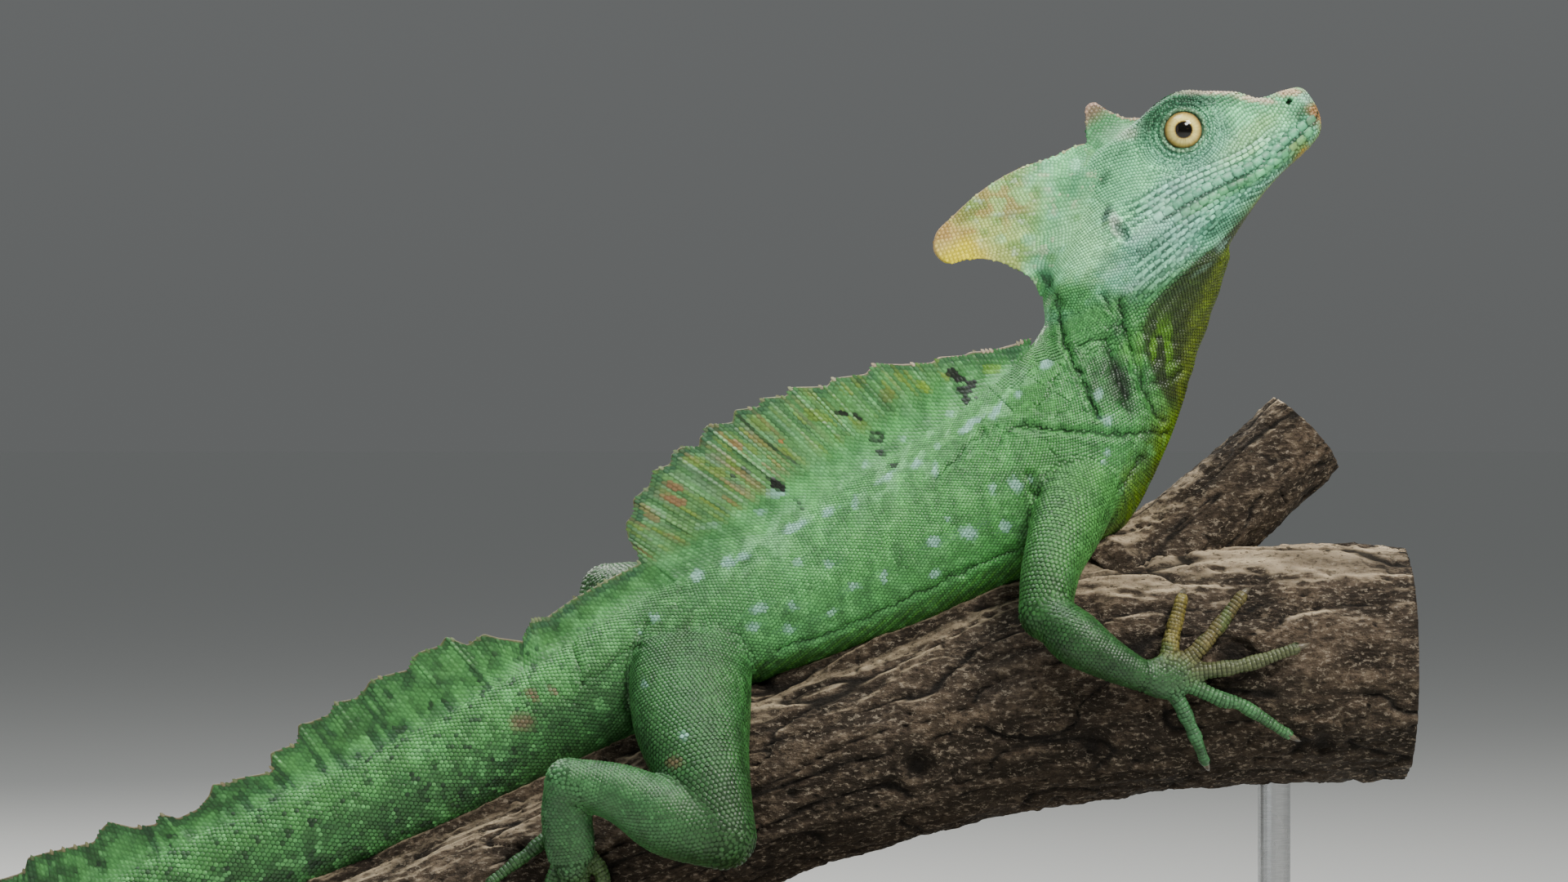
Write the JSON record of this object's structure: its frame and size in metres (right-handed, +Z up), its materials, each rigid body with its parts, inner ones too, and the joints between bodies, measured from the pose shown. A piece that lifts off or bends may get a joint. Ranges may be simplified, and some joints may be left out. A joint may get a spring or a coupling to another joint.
{
  "type": "green basilisk lizard model",
  "caption": "Life-size still model of a green basilisk lying on a cut branch with its head raised, on a plain display stand.",
  "frame": {"origin": "middle of the underside of the display base, on the surface that the model stands on", "axes": "+Z up; the animal's head points along +X and its tail along -X; its right side is towards -Y"},
  "size_m": [0.6839, 0.15, 0.2745],
  "materials": {
    "skin": "fine keeled scales, matte to satin",
    "crest": "thin scaled membrane with raised rays",
    "eye": "wet gloss, yellow iris and black pupil",
    "bark": "rough weathered bark",
    "rod_steel": "brushed",
    "base_wood": "dark stain, satin"
  },
  "bodies": {
    "root": {"head": "skin", "neck": "skin", "torso": "skin", "tail_1": "skin", "tail_2": "skin", "tail_3": "skin", "tail_4": "skin", "tail_5": "skin", "upper_arm_r": "skin", "forearm_r": "skin", "hand_r": "skin", "upper_arm_l": "skin", "forearm_l": "skin", "hand_l": "skin", "thigh_r": "skin", "shank_r": "skin", "foot_r": "skin", "thigh_l": "skin", "shank_l": "skin", "foot_l": "skin", "crest_head": "crest", "crest_brow": "crest", "crest_back": "crest", "crest_tail_1": "crest", "crest_tail_2": "crest", "crest_tail_3": "crest", "eye_r": "eye", "eye_l": "eye", "stand_perch": "bark", "stand_rod_front": "rod_steel", "stand_rod_rear": "rod_steel", "stand_base": "base_wood"}
  },
  "joints": []
}
